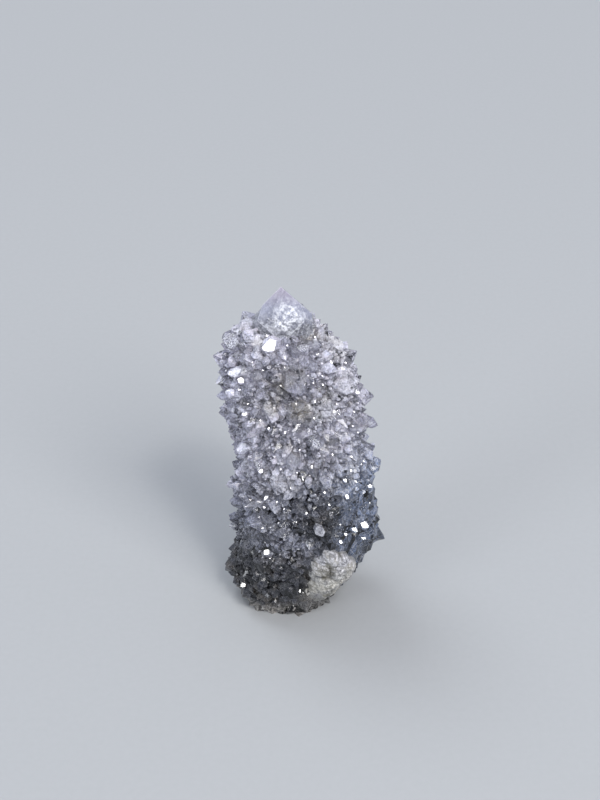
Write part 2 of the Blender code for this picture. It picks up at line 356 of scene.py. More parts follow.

# %% [markdown]
# ## Finish and tone of the wide points
#
# The faces round one apex belong to one crystal. The apex is the corner that stands out most, so the crystal's
# tone and finish are drawn from its place, and each face then gets a little painted shade, lighter or darker at
# random, as facets turned to different things look. Smoky crystals fill the lower part, with a ragged border, and
# clear and milky ones are mixed above.
# Where the photograph shows a milky crystal, a list of places makes sure that it is one.

# %% Sort the solid's faces
# The lens and the picture's middle in pixels, in a picture of 600 by 800
PIXEL_LENS = 1500
PICTURE_MIDDLE = (300, 400)
# Pixel across, pixel down and reach in mm of the places where every crystal is milky
MILKY_SPOTS = ((332, 343, 3.6), (350, 385, 4.2), (324, 412, 2.6), (245, 328, 3.2), (264, 345, 3.0), (236, 380, 3.0),
               (284, 480, 3.4), (329, 366, 2.4), (250, 440, 2.4), (293, 461, 2.2), (245, 465, 2.4), (335, 468, 1.8))


def place_seen(across, down):
    """The place of the skin that the camera shows at a pixel, or the nearest to it just past the outline."""
    sight = Vector(((across - PICTURE_MIDDLE[0]) / PIXEL_LENS, (PICTURE_MIDDLE[1] - down) / PIXEL_LENS, -1))
    sight.rotate(camera.rotation_euler)
    sight.normalize()
    beside = CAMERA_PLACE + sight * (CLUSTER_HEART - CAMERA_PLACE).dot(sight)
    return skin.ray_cast(CAMERA_PLACE, sight)[0] or skin.find_nearest(beside)[0]


SMOKE_TOP = 22 * MM
SMOKE_SOFTNESS = 7 * MM
SMOKE_TILT = 0.3
SMOKE_DRIFT = 3 * MM
SMOKE_DRIFT_SIZE = 6 * MM
MILKY_SHARE = 0.5
# How much painted shade, lighter or darker at random, each face gets on top of its crystal's tone
FACET_SHADE_SHARE = 1.0
PATCH_INSIDE = 0.85
# Multiplying a number from 0 to 1 by one of these and dropping the whole part gives a new one that looks random
RESHUFFLE = 7.3
FINISH_RESHUFFLE = 3.7


def finish_at(point, chance):
    """Which finish a crystal has that grew at a point, from a chance between 0 and 1."""
    if any((point - spot).length < reach for spot, reach in milky_spots):
        return MILKY
    drift = SMOKE_DRIFT * noise.noise(point / SMOKE_DRIFT_SIZE) - point.x * SMOKE_TILT
    smoke = 0.5 - (point.z + drift - SMOKE_TOP) / (2 * SMOKE_SOFTNESS)
    if chance < smoke:
        return SMOKY
    return MILKY if (chance * RESHUFFLE) % 1 < MILKY_SHARE else CLEAR


milky_spots = [(place_seen(across, down), reach * MM) for across, down, reach in MILKY_SPOTS]
tone_note = closed.faces.layers.float.new("tone")
for face in closed.faces:
    middle = face.calc_center_median()
    out = outward_at(middle)
    apex = max((vertex.co for vertex in face.verts), key=lambda co: (co - middle).dot(out))
    tone = place_tone(apex)
    # Each face gets its own painted shade, lighter or darker at random
    face[tone_note] = tone + FACET_SHADE_SHARE * (place_tone(middle) - 0.5)
    if tip_face(middle):
        face.material_index = TIP
    elif patch_share(middle) < PATCH_INSIDE:
        face.material_index = PATCH
    else:
        face.material_index = finish_at(apex, (tone * FINISH_RESHUFFLE) % 1)
counts = np.bincount([face.material_index for face in closed.faces], minlength=len(FINISHES))
print(dict(zip(FINISHES, counts.tolist())))

# %% [markdown]
# ## Crystals that catch the eye
#
# Some crystals stand out in the photograph: broad faces turned to the viewer, and faces that throw the lamp's light
# straight into the lens. A flash can't be painted on, since it has to move when the cluster turns. So these crystals
# are aimed: one end face of each looks halfway between the viewer and the lamp, or close to the viewer for the faces
# that only look broad. Their places are read off the picture and carried along the line of sight to the skin.

# %% Aimed crystals
HALF_SIDE = math.radians(30)
MIDDLE_TO_FACE = 0.5 * math.cos(HALF_SIDE)
END_HEIGHT = MIDDLE_TO_FACE / math.tan(END_FACE_LEAN)
FLASH_RISE = 0.3
BROAD_RISE = 0.14
# Broad crystals may stand out by the limit times how far the smoothing there stays below the next number
BROAD_LIMIT = 1.6 * MM
BROAD_NONE = 1.3
AIMED_FLATTEST = 0.65
FLASH_TONE = 0.7
CLEAR_SHARE = 0.56
SIDE_MARGIN = 0.05 * MM

# Pixel across, pixel down, width in mm
FLASHES = ((270, 345, 3.2), (243, 380, 1.4), (246, 413, 1.1), (267, 497, 1.1), (346, 496, 1.1), (344, 480, 0.9),
           (379, 485, 1.0), (362, 524, 1.9), (353, 529, 1.4), (345, 534, 0.7), (340, 541, 0.9), (362, 537, 1.0),
           (268, 551, 1.5), (245, 584, 1.4), (287, 345, 0.7), (247, 321, 0.6), (329, 362, 1.0), (345, 385, 0.9),
           (275, 455, 0.7), (312, 466, 0.7), (300, 590, 0.7), (262, 470, 1.0), (243, 470, 0.9), (356, 392, 1.0))
# Besides these, small sparks at random places: how many, where in the picture, how wide and how far apart
SPARKS = 85
SPARK_ACROSS = (228, 372)
SPARK_DOWN = (335, 535)
SPARK_WIDTHS = (0.28, 0.6)
SPARK_GAP = 1.5 * MM
# Pixel across, pixel down, width in mm, finish, tone, turn away from the viewer in degrees
BROAD_FACES = ((250, 328, 3.4, MILKY, 0.5, -16), (233, 341, 3.7, CLEAR, 0.0, -24), (259, 341, 3.0, MILKY, 0.6, -20),
               (293, 383, 4.4, CLEAR, 0.4, -8), (329, 368, 3.2, MILKY, 0.7, 34), (346, 386, 3.6, MILKY, 0.6, 36),
               (361, 393, 3.0, MILKY, 0.7, 40), (325, 412, 2.4, MILKY, 0.7, -12), (253, 432, 2.8, CLEAR, 0.6, -10),
               (293, 461, 3.4, CLEAR, 0.6, -14), (335, 468, 2.8, MILKY, 0.4, -16), (319, 531, 2.1, TIP, 0.3, -6),
               (352, 545, 4.6, SMOKY, 0.3, 44), (367, 530, 3.6, SMOKY, 0.4, 34), (250, 545, 3.2, SMOKY, 0.6, -18),
               (357, 512, 3.4, SMOKY, 0.6, -14), (372, 510, 2.8, SMOKY, 0.5, 34), (236, 372, 3.2, MILKY, 0.5, -30),
               (288, 500, 2.4, MILKY, 0.4, -10), (316, 443, 2.4, CLEAR, 0.5, -25), (276, 470, 2.2, MILKY, 0.5, -15),
               (262, 392, 2.6, CLEAR, 0.3, -12), (300, 350, 2.4, CLEAR, 0.5, -22), (336, 345, 2.8, MILKY, 0.6, 38),
               (243, 447, 2.6, MILKY, 0.6, -30), (270, 517, 2.6, CLEAR, 0.4, -18), (250, 562, 2.6, SMOKY, 0.8, -14))


Point = namedtuple("Point", "apex width pose mould finish tone")


def settled(pose, apex, mould):
    """A pose and an apex, moved sideways by as much as the crystal would reach out of the solid's box."""
    reached = [pose @ vertex.co for vertex in mould.vertices]
    shift = Vector()
    for k in range(2):
        places = [corner[k] for corner in reached]
        shift[k] = max(low[k] + SIDE_MARGIN - min(places), 0) - max(max(places) - high[k] + SIDE_MARGIN, 0)
    return Matrix.Translation(shift) @ pose, apex + shift


def aimed_point(place, normal, width, raised, finish, tone):
    """A point on the skin, one of whose end faces has a given normal and its middle just above the place."""
    out = outward_at(place)
    axis = Matrix.Rotation(math.pi / 2 - END_FACE_LEAN, 3, normal.cross(out).normalized()) @ normal
    flat = (normal - axis * normal.dot(axis)).normalized()
    first = flat * math.cos(HALF_SIDE) - axis.cross(flat) * math.sin(HALF_SIDE)
    turn = Matrix((first, axis.cross(first), axis)).transposed().to_4x4()
    face_side = Vector((-math.sin(HALF_SIDE), math.cos(HALF_SIDE), 0))
    middle = place + out * width * raised
    apex = middle + axis * width * END_HEIGHT / 2 - flat * width * MIDDLE_TO_FACE / 2
    squeeze = Matrix.Diagonal((width, width, width, 1)) @ Matrix.Scale(rng.uniform(AIMED_FLATTEST, 1), 4, face_side)
    mould = rng.choice(broad_moulds)
    pose = Matrix.Translation(apex - axis * width * MOULD_LENGTH) @ turn @ squeeze
    if finish not in (POLISHED, TIP):
        sink = min(BROAD_LIMIT * (BROAD_NONE - smooth_share(place)) - (apex - place).dot(out), 0) * out
        pose, apex = Matrix.Translation(sink) @ pose, apex + sink
    pose, apex = settled(pose, apex, mould)
    return Point(apex, width, pose, mould, finish, tone)


def halfway_normal(place):
    """The way a face must look to throw the spark lamp's light from a place into the camera."""
    return ((CAMERA_PLACE - place).normalized() + (SPARK_LAMP_PLACE - place).normalized()).normalized()


aimed_points, feet = [], []
for across, down, width in FLASHES:
    place = place_seen(across, down)
    aimed_points.append(aimed_point(place, halfway_normal(place), width * MM, FLASH_RISE, POLISHED, FLASH_TONE))
    feet.append(place)
for across, down, width, finish, tone, turn in BROAD_FACES:
    place = place_seen(across, down)
    normal = Matrix.Rotation(math.radians(turn), 3, "Z") @ (CAMERA_PLACE - place).normalized()
    aimed_points.append(aimed_point(place, normal, width * MM, BROAD_RISE, finish, tone))
    feet.append(place)
while len(feet) < len(FLASHES) + len(BROAD_FACES) + SPARKS:
    place = place_seen(rng.uniform(*SPARK_ACROSS), rng.uniform(*SPARK_DOWN))
    if min((place - foot).length for foot in feet) < SPARK_GAP or patch_share(place) < 1:
        continue
    width = rng.uniform(*SPARK_WIDTHS) * MM
    aimed_points.append(aimed_point(place, halfway_normal(place), width, FLASH_RISE, POLISHED, rng.random()))
    feet.append(place)
feet = np.array(feet)
clearances = np.array([point.width * CLEAR_SHARE for point in aimed_points])
print(len(aimed_points), "aimed crystals")

# %% [markdown]
# ## Where the small points grow
#
# The small points fill the gaps between the wide ones and perch on their flanks. Scattering them with the Distribute
# Points node would be quick, but then each needs its own width, lean and finish, and the result has to be one closed
# mesh in the end. So random places are drawn on the skin in code, by area, and a place too near an earlier one is
# thrown away.

# %% Places for the small points
SMALL_POINTS = 4100
SMALL_GAP = 0.49 * MM
WIDTH_CHOICES = ((0.72, 0.50, 0.88), (0.19, 0.88, 1.35), (0.09, 1.35, 2.3))
STAND_OUT = (0.15, 0.85)
LEVEL_SHARE = 0.7
LEAN = 0.42
GROUND_MARGIN = 0.5 * MM
PATCH_EDGE = 0.25
FLUSH_BARE = 0.45
FACE_PULL = 0.6
FLATTEST = 0.8
# How far the points stand out on the coat, how much less where it is flush, and on the tip
COAT_STAND_OUT = 1.1
FLUSH_DROP = 0.8
TIP_STAND_OUT = 0.35
TIP_WIDTH = 0.85
# How far up the tip the coat reaches in mm, in front and behind, and how ragged its border is
TIP_COAT_FRONT = 2.1
TIP_COAT_BACK = 1.3
TIP_COAT_RAGGED = 0.9
TIP_FRONT = -1 * MM


def small_width():
    """A width for a small point: most are narrow and a few are wide."""
    chance = rng.random()
    for share, narrow, wide in WIDTH_CHOICES:
        if chance < share:
            break
        chance -= share
    return rng.uniform(narrow, wide) * MM


def point_on(face):
    """A random place on a face, anywhere in its area."""
    triangle = [vertex.co for vertex in face.verts[:3]]
    across, along = rng.random(), rng.random()
    if across + along > 1:
        across, along = 1 - across, 1 - along
    return triangle[0] + (triangle[1] - triangle[0]) * across + (triangle[2] - triangle[0]) * along


def grows_here(place):
    """True where the coat has small points: not on the break, the patch or the tip's upper faces."""
    if place.z < GROUND_MARGIN or patch_share(place) < 1.0 - PATCH_EDGE * rng.random():
        return False
    border = TIP_COAT_FRONT if place.y < TIP_FRONT else TIP_COAT_BACK
    highest = TIP_FOOT + (border + TIP_COAT_RAGGED * rng.random() ** 2) * MM
    return not tip_face(place) or place.z < highest


def inside_box(apex, root, width):
    """True where a point keeps within the solid's own box and above the ground."""
    within = all(low[k] + SIDE_MARGIN < apex[k] < high[k] - SIDE_MARGIN for k in range(2))
    lowest = min(apex.z, root.z) - width / 2
    return within and lowest > SIDE_MARGIN and apex.z < high.z - width and not on_left_shoulder(apex)


def standing_pose(apex, axis, width):
    """Turns a mould to a given axis and by any amount about it, a little flattened, with its apex in place."""
    turn = axis.to_track_quat("Z", "Y").to_matrix().to_4x4() @ Matrix.Rotation(rng.uniform(0, math.pi), 4, "Z")
    squeeze = Matrix.Diagonal((width, width * rng.uniform(FLATTEST, 1), width, 1))
    return Matrix.Translation(apex - axis * width * MOULD_LENGTH) @ turn @ squeeze


def small_point(face):
    """A small point at a random place of a face, or None where it can't grow."""
    place = point_on(face)
    if not grows_here(place) or (np.linalg.norm(feet - np.array(place), axis=1) < clearances).any():
        return None
    if rng.random() < flush_share(place) * FLUSH_BARE:
        return None
    on_tip = tip_face(place)
    width = small_width() * (TIP_WIDTH if on_tip else 1)
    lean = Vector((rng.gauss(0, 1), rng.gauss(0, 1), rng.gauss(0, 1))) * LEAN
    out = outward_at(place)
    axis = (out + face.normal * FACE_PULL + lean).normalized()
    raised = TIP_STAND_OUT if on_tip else COAT_STAND_OUT - FLUSH_DROP * flush_share(place)
    stand_out = rng.uniform(*STAND_OUT) * raised
    apex = place + axis * width * stand_out + out * level_above(place, out) * LEVEL_SHARE
    if not inside_box(apex, apex - axis * width * MOULD_LENGTH, width):
        return None
    finish = finish_at(place, rng.random())
    if patch_share(place) < 1.0:
        finish = PATCH
    elif on_tip:
        finish = TIP
    return Point(apex, width, standing_pose(apex, axis, width), rng.choice(moulds), finish, rng.random())


bmesh.ops.triangulate(closed, faces=closed.faces)
closed.faces.ensure_lookup_table()
areas = np.cumsum([face.calc_area() for face in closed.faces])
small_points = []
while len(small_points) < SMALL_POINTS:
    grown = small_point(closed.faces[int(np.searchsorted(areas, rng.random() * areas[-1]))])
    if grown:
        small_points.append(grown)
        feet = np.vstack((feet, np.array(grown.apex)))
        clearances = np.append(clearances, SMALL_GAP)
mean_width = sum(point.width for point in small_points) / SMALL_POINTS
print(len(small_points), "small points, mean width", round(mean_width / MM, 2), "mm")

# %% [markdown]
# ## Fuse everything into one skin
#
# Crystals that grew together have no skin between them, so light passes from one into the next. A Boolean union
# takes the inner walls away. One union for each of the thousands of points would take far too long, and in
# one with all of them at once they would overlap each other. So the points are dealt into layers in which no two
# touch, and each layer is joined in a single step. The Manifold solver does this quickest and keeps the notes on
# the faces.

# %% Deal the points into layers and join them
TOUCH_REACH = 1.55


def dealt(points):
    """Lists of points in which no two are near enough to touch."""
    layers = []
    for point in points:
        for layer in layers:
            if all((point.apex - other.apex).length > (point.width + other.width) * TOUCH_REACH for other in layer):
                layer.append(point)
                break
        else:
            layers.append([point])
    return layers


def layer_object(points):
    """One object that holds a layer of points, each in its pose and with its finish and tone."""
    whole = bmesh.new()
    note = whole.faces.layers.float.new("tone")
    for point in points:
        before_faces, before_verts = len(whole.faces), len(whole.verts)
        whole.from_mesh(point.mould)
        whole.faces.ensure_lookup_table()
        whole.verts.ensure_lookup_table()
        bmesh.ops.transform(whole, matrix=point.pose, verts=whole.verts[before_verts:])
        for face in whole.faces[before_faces:]:
            # Each face gets its own painted shade, lighter or darker at random
            face[note] = point.tone + FACET_SHADE_SHARE * (rng.random() - 0.5)
            face.material_index = point.finish
    return object_with(whole, "point_layer")


def object_with(shape, name):
    """A new object that holds a bmesh and all the finishes."""
    mesh = bpy.data.meshes.new(name)
    shape.to_mesh(mesh)
    shape.free()
    for finish in FINISHES:
        mesh.materials.append(bpy.data.materials.get(finish) or bpy.data.materials.new(finish))
    made = bpy.data.objects.new(name, mesh)
    bpy.context.scene.collection.objects.link(made)
    return made


def fuse(target, other):
    """Joins another closed object into the target for good."""
    union = target.modifiers.new("fuse", "BOOLEAN")
    union.operation = "UNION"
    union.solver = "MANIFOLD"
    union.object = other
    evaluated = target.evaluated_get(bpy.context.evaluated_depsgraph_get())
    joined = bpy.data.meshes.new_from_object(evaluated)
    target.modifiers.clear()
    target.data = joined
    bpy.data.objects.remove(other)


cluster = object_with(closed, "quartz_crust")
layers = dealt(aimed_points + small_points)
for layer in layers:
    fuse(cluster, layer_object(layer))
print(len(layers), "layers joined:", len(cluster.data.polygons), "faces")

# %% [markdown]
# ## The lump on the pale patch
#
# Low on the right the coat is missing, and a cream-white crust has grown in its place: rounded lobes, the upper ones
# with ridges that fan out to the rim, with hollows between them, and folds and small lumps lower down. A displaced
# plane would do, but the lump has to be closed to be fused. So rings of corners are laid round the patch's middle,
# from there to the outline, and lifted by a height that is worked out for each corner. The last ring dips below the
# skin and a cap closes the back.

# %% Build the lump and fuse it
RINGS = 44
SPOKES = 230
BED_RISE = 0.3
RIM_DROP = 0.5
CAP_DEPTH = 2.2
# Each lobe's middle across and up from the patch's middle, its reach, its rise and the relief of its ridges, in mm
LOBES = ((-1.7, 4.5, 2.3, 1.15, 0.42), (1.2, 3.8, 1.9, 1.0, 0.38), (3.4, 1.4, 2.1, 1.0, 0.36),
         (-3.0, 1.6, 1.5, 0.8, 0.2), (0.8, 0.9, 2.2, 0.8, 0), (3.4, -2.2, 2.0, 0.8, 0), (0.6, -2.6, 1.9, 0.6, 0),
         (-2.2, -2.2, 2.2, 0.8, 0), (-2.4, -5.6, 2.3, 0.75, 0), (0.6, -5.8, 1.9, 0.6, 0), (-0.7, -8.4, 1.8, 0.5, 0))
# Each hollow's middle, its reach and its depth
HOLLOWS = ((-1.9, 3.1, 0.9, 0.5), (-2.1, 1.3, 1.4, 0.15), (1.8, -3.9, 1.1, 0.6), (3.1, 2.9, 0.8, 0.3))
RIDGE_TURN = math.radians(22)
RIDGE_WANDER = 0.2
FOLD_MIDDLE = Vector((5.0, -6.5))
FOLD_SIZE = 1.7
FOLD_RELIEF = 0.22
FOLD_WARP = 1.8
FOLD_WARP_SIZE = 1.6
FOLD_TOP = 3.5
FOLD_FADE = 3
LUMP_SIZE = 1.3
LUMP_RELIEF = 0.45
FINE_SIZE = 0.4
FINE_RELIEF = 0.18
FAN_DROP = 0.7
RIDGE_WANDER_SIZE = 1.5
RING_CROWDING = 0.85
DOME_POWER = 2.6
RIM_POWER = 8
RIM_DROP_POWER = 10
# How strong the small lumps are high up, next to 1 from a depth below the middle, and how much of the fine relief
# is lost between two heights above it
LUMPS_HIGH_UP = 0.2
LUMPS_DEPTH = 3
FINE_LOSS = 0.6
FINE_LOSS_HEIGHTS = (2, 4)
# Angles and shares of the way out at which the skin under the patch is measured, how many factors a term has, and
# how far out the measuring rays start in mm
BED_ANGLES = np.radians(np.arange(-180, 180, 12))
BED_SHARES = (0.1, 0.35, 0.6, 0.85)
BED_FACTORS = 3
BED_START = 20


def bed_terms(across, upward):
    """The terms of the smooth sheet under the lump: every product of across and up of up to three factors."""
    return [across ** i * upward ** j for i in range(BED_FACTORS + 1) for j in range(BED_FACTORS + 1 - i)]


def patch_bed():
    """The skin under the patch as a smooth curved sheet, by least squares over places within the outline."""
    rows, depths = [], []
    for angle in BED_ANGLES:
        for share in BED_SHARES:
            reach = patch_reach(angle) / MM * share
            across, upward = reach * math.cos(angle), reach * math.sin(angle)
            start = PATCH_MIDDLE + (PATCH_SIDE * across + Vector((0, 0, upward))) * MM + PATCH_OUT * BED_START * MM
            hit = skin.ray_cast(start, -PATCH_OUT)[0]
            rows.append(bed_terms(across, upward))
            depths.append((hit - PATCH_MIDDLE).dot(PATCH_OUT) / MM)
    return np.linalg.lstsq(np.array(rows), np.array(depths), rcond=None)[0]


def swell(value, start, end):
    """0 below a start and 1 above an end, with a straight rise between."""
    return min(max((value - start) / (end - start), 0), 1)


def lobe_height(place, lobe):
    """The rise of one lobe at a place: a dome with rounded ridges that fan out near its rim."""
    across, upward, reach, rise, relief = lobe
    away = place - Vector((across, upward))
    share = away.length / reach
    if share >= 1:
        return 0.0
    fan = away + Vector((0, reach * FAN_DROP))
    turn = math.atan2(fan.x, fan.y) + RIDGE_WANDER * noise.noise(Vector((place.x, place.y, 5)) / RIDGE_WANDER_SIZE)
    ridge = abs(math.sin(turn / RIDGE_TURN * math.pi)) * relief * swell(fan.y, 0, reach)
    return (rise + ridge) * math.sqrt(1 - share ** DOME_POWER)


def fold_height(place):
    """Rounded folds that sweep in arcs across the middle, from the upper right down to the left."""
    warp = FOLD_WARP * noise.noise(Vector((place.x, place.y, 9)) / FOLD_WARP_SIZE)
    arcs = abs(math.sin(((place - FOLD_MIDDLE).length + warp) / FOLD_SIZE * math.pi))
    return arcs * FOLD_RELIEF * swell(FOLD_TOP - place.y, 0, FOLD_FADE)


def lump_height(across, upward, share):
    """How far the lump stands above its bed, in mm, at a place and its share of the way to the outline."""
    place = Vector((across, upward))
    lobes = max(lobe_height(place, lobe) for lobe in LOBES) + fold_height(place)
    nearest = noise.voronoi(Vector((across, upward, 0)) / LUMP_SIZE)[0]
    lumpy = LUMPS_HIGH_UP + (1 - LUMPS_HIGH_UP) * swell(-upward, 0, LUMPS_DEPTH)
    lumps = LUMP_RELIEF * (nearest[1] - nearest[0]) * lumpy
    grainy = 1 - FINE_LOSS * swell(upward, *FINE_LOSS_HEIGHTS)
    fine = FINE_RELIEF * noise.noise(Vector((across, upward, 7)) / FINE_SIZE) * grainy
    for hollow_across, hollow_up, reach, depth in HOLLOWS:
        lumps -= depth * math.exp(-((across - hollow_across) ** 2 + (upward - hollow_up) ** 2) / reach ** 2)
    height = BED_RISE + lobes + lumps + fine
    return height * math.sqrt(max(1 - share ** RIM_POWER, 0)) - RIM_DROP * share ** RIM_DROP_POWER


bed = patch_bed()


def patch_place(across, upward, height):
    """A place over the patch's bed, from millimetres across, up and out."""
    front = PATCH_MIDDLE.y + PATCH_SIDE.y * across * MM - low.y - SIDE_MARGIN
    depth = min(bed.dot(bed_terms(across, upward)) + height, -front / PATCH_OUT.y / MM)
    return PATCH_MIDDLE + (PATCH_SIDE * across + Vector((0, 0, upward)) + PATCH_OUT * depth) * MM


lump = bmesh.new()
middle_corner = lump.verts.new(patch_place(0, 0, lump_height(0, 0, 0)))
rings = []
for ring in range(1, RINGS + 1):
    share = (ring / RINGS) ** RING_CROWDING
    loop = []
    for spoke in range(SPOKES):
        angle = math.tau * spoke / SPOKES - math.pi
        reach = patch_reach(angle) / MM * share
        across, upward = reach * math.cos(angle), reach * math.sin(angle)
        loop.append(lump.verts.new(patch_place(across, upward, lump_height(across, upward, share))))
    rings.append(loop)
back_corner = lump.verts.new(patch_place(0, 0, -CAP_DEPTH))
for spoke in range(SPOKES):
    after = (spoke + 1) % SPOKES
    lump.faces.new((middle_corner, rings[0][spoke], rings[0][after]))
    lump.faces.new((back_corner, rings[-1][after], rings[-1][spoke]))
    for inner, outer in zip(rings, rings[1:]):
        lump.faces.new((inner[spoke], outer[spoke], outer[after]))
        lump.faces.new((inner[spoke], outer[after], inner[after]))
lump_note = lump.faces.layers.float.new("tone")
for face in lump.faces:
    face.material_index = PATCH
    face[lump_note] = 0.5
fuse(cluster, object_with(lump, "patch_lump"))
print("lump fused:", len(cluster.data.polygons), "faces")

# %% [markdown]
# ## Nooks
#
# The grooves between crystals are given a brown stain and painted shade, while the tips that stand free are left
# brightest. Short rays from each corner of the mesh count how much of its view is blocked close by, and the share is
# kept as a number on the corner. The shader could ask an Ambient Occlusion node instead, but a stored number costs
# nothing when it is drawn.

# %% Measure how deep in a nook each corner lies
NOOK_RAYS = 10
NOOK_REACH = 1.6 * MM
NOOK_LOWEST = 0.25
# How far out of the corner the rays start, in mm
NOOK_LIFT = 0.03

shape = bmesh.new()
shape.from_mesh(cluster.data)
around = BVHTree.FromBMesh(shape)
golden_turn = math.pi * (3 - math.sqrt(5))
dome = []
for ray in range(NOOK_RAYS):
    rise = NOOK_LOWEST + (1 - NOOK_LOWEST) * (ray + 0.5) / NOOK_RAYS
    flat = math.sqrt(1 - rise * rise)
    dome.append(Vector((flat * math.cos(ray * golden_turn), flat * math.sin(ray * golden_turn), rise)))
nooks = []
for vertex in shape.verts:
    out = outward_at(vertex.co)
    turn = out.to_track_quat("Z", "Y")
    start = vertex.co + out * NOOK_LIFT * MM
    blocked = sum(around.ray_cast(start, turn @ ray, NOOK_REACH)[0] is not None for ray in dome)
    nooks.append(blocked / NOOK_RAYS)
open_edges = sum(not edge.is_manifold for edge in shape.edges)
shape.free()
nook_note = cluster.data.attributes.new("nook", "FLOAT", "POINT")
nook_note.data.foreach_set("value", nooks)
cluster.data.calc_loop_triangles()
print(len(nooks), "corners, mean nook", round(sum(nooks) / len(nooks), 2), "open edges", open_edges,
      "triangles", len(cluster.data.loop_triangles))

# %% [markdown]
# ## Shader maths in plain expressions
#
# Node graphs are easier to read as sums. The small class below wraps one output of a node, so that a * b + 1 adds
# the Math nodes it stands for. Everything that isn't a number goes through one method that makes any node.

# %% A wrapper for node outputs


class Wire:
    """One output of a node, which the plus, minus and times signs work on, from either side."""

    def __init__(self, paint, socket):
        self.paint = paint
        self.socket = socket

    def sum(self, operation, first, second):
        """The Math node that one sign stands for."""
        return self.paint.node("ShaderNodeMath", {"operation": operation}, {0: first, 1: second})

    def __add__(self, other):
        return self.sum("ADD", self, other)

    def __sub__(self, other):
        return self.sum("SUBTRACT", self, other)

    def __rsub__(self, other):
        return self.sum("SUBTRACT", other, self)

    def __mul__(self, other):
        return self.sum("MULTIPLY", self, other)

    __radd__ = __add__
    __rmul__ = __mul__


class Paint:
    """A material that is built node by node."""

    def __init__(self, name):
        self.material = bpy.data.materials.get(name) or bpy.data.materials.new(name)
        self.material.use_nodes = True
        self.tree = self.material.node_tree
        self.tree.nodes.clear()
        self.place = self.node("ShaderNodeTexCoord", output="Object")

    def node(self, kind, settings=None, sockets=None, output=0):
        """Adds a node, with its settings first and then values or wires on its sockets."""
        made = self.tree.nodes.new(kind)
        for name, value in (settings or {}).items():
            setattr(made, name, value)
        for name, value in (sockets or {}).items():
            if isinstance(value, Wire):
                self.tree.links.new(value.socket, made.inputs[name])
            else:
                made.inputs[name].default_value = value
        return None if output is None else Wire(self, made.outputs[output])

    def vector(self, operation, *values, output=0):
        """Vector Math on places, directions and colours."""
        return self.node("ShaderNodeVectorMath", {"operation": operation}, dict(enumerate(values)), output)

    def noise(self, size, detail=3.0, roughness=0.55):
        """Cloudy noise from 0 to 1 whose lumps are about a size across, in metres."""
        return self.node("ShaderNodeTexNoise", sockets={
            "Vector": self.place, "Scale": 1 / size, "Detail": detail, "Roughness": roughness})

    def bent(self, amount, size):
        """The place, shifted by up to half an amount in metres by a noise of a size."""
        cloud = self.node("ShaderNodeTexNoise", sockets={"Vector": self.place, "Scale": 1 / size},
                          output="Color")
        shift = self.vector("MULTIPLY_ADD", cloud, (amount,) * 3, (-amount / 2,) * 3)
        return self.vector("ADD", self.place, shift)

    def cells(self, size, feature="F1", output="Distance"):
        """Cells about a size across: the way to their middles, or to their edges, or a random colour for each."""
        bent = self.bent(size * 0.7, size)
        return self.node("ShaderNodeTexVoronoi", {"feature": feature}, {"Vector": bent, "Scale": 1 / size},
                         output=output)

    def drift(self, size, least, most, detail=3.0):
        """A number that wanders from least to most in lumps of a size."""
        return self.noise(size, detail) * (most - least) + least

    def speckle(self, size, amount):
        """A number that jumps from cell to cell, by up to half an amount to either side of 0."""
        return (self.cells(size, output="Color") - 0.5) * amount

    def note(self, name):
        """A number that is kept on the mesh."""
        return self.node("ShaderNodeAttribute", {"attribute_name": name}, output="Fac")

    def along(self, axis):
        """How far a place lies along an axis, in metres; along Z it is the height above the ground."""
        return self.node("ShaderNodeSeparateXYZ", sockets={0: self.place}, output=axis)

    def away_from(self, point):
        """The distance from a point, in metres."""
        return self.vector("DISTANCE", self.place, point, output="Value")

    def near(self, point, border, wobble=0):
        """1 close to a point and 0 far from it, with a smooth border between two distances that may wobble."""
        return 1 - self.step(self.away_from(point) + wobble, *border)

    def step(self, value, start, end):
        """0 below a start and 1 above an end, with a smooth rise between."""
        return self.node("ShaderNodeMapRange", {"interpolation_type": "SMOOTHSTEP"},
                         {"Value": value, "From Min": start, "From Max": end})

    def blend(self, factor, first, second):
        """One colour turning into another."""
        return self.node("ShaderNodeMix", {"data_type": "RGBA"}, {0: factor, 6: first, 7: second}, output=2)

    def shade(self, colour, factor):
        """A colour made darker or lighter by a factor."""
        return self.node("ShaderNodeVectorMath", {"operation": "SCALE"}, {0: colour, 3: factor})

    def tinted(self, colour, tint):
        """A colour seen through a filter."""
        return self.vector("MULTIPLY", colour, tint)

    def edges(self, width):
        """Near 0 on flat faces and up to about 0.2 along the sharp edges between them, within a width."""
        rounded = self.node("ShaderNodeBevel", {"samples": 4}, {"Radius": width})
        flat = self.node("ShaderNodeNewGeometry", output="Normal")
        return 1 - self.vector("DOT_PRODUCT", rounded, flat, output="Value")

    def bump(self, height, depth, strength=1.0):
        """Normals of a fine relief whose full height is a depth in metres."""
        return self.node("ShaderNodeBump", sockets={"Strength": strength, "Distance": depth, "Height": height})

    def finish(self, **sockets):
        """The surface itself, a Principled BSDF, with names such as Base_Color for its sockets."""
        named = {name.replace("_", " "): value for name, value in sockets.items()}
        surface = self.node("ShaderNodeBsdfPrincipled", sockets=named)
        self.node("ShaderNodeOutputMaterial", sockets={"Surface": surface}, output=None)


print("wrapper ready")
